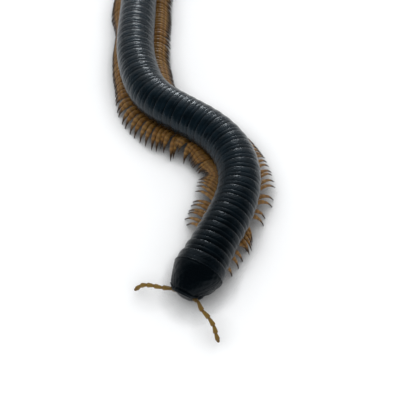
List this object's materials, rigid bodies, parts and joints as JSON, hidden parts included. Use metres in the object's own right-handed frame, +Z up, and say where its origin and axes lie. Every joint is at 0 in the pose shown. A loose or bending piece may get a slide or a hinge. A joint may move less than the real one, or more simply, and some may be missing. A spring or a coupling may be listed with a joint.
{
  "type": "giant millipede",
  "caption": "Long many-legged arthropod standing in an S-bend, with a ringed cylindrical body, head shield, two feelers and rows of curved legs.",
  "frame": {"origin": "on the floor under the middle of the whole animal's bounding box", "axes": "+Z up, head towards -Y and tail towards +Y"},
  "size_m": [0.0533, 0.175, 0.0144],
  "materials": {
    "shell": "smooth horny cuticle, black with a blue-grey sheen, satin gloss",
    "limb": "amber horny cuticle with brown joints and dark claws, satin",
    "eye": "patch of small glossy black lenses",
    "mouth": "dark brown cuticle, satin"
  },
  "bodies": {
    "root": {"head": "shell", "collum": "shell", "eye_left": "eye", "eye_right": "eye", "mandible_left": "shell", "mandible_right": "shell", "gnathochilarium": "mouth", "antenna_left": "limb", "antenna_right": "limb", "trunk_1": "shell", "trunk_2": "shell", "trunk_3": "shell", "trunk_4": "shell", "trunk_5": "shell", "trunk_6": "shell", "trunk_7": "shell", "trunk_8": "shell", "preanal_ring": "shell", "anal_valve_left": "shell", "anal_valve_right": "shell", "hypoproct": "shell"}
  },
  "joints": []
}
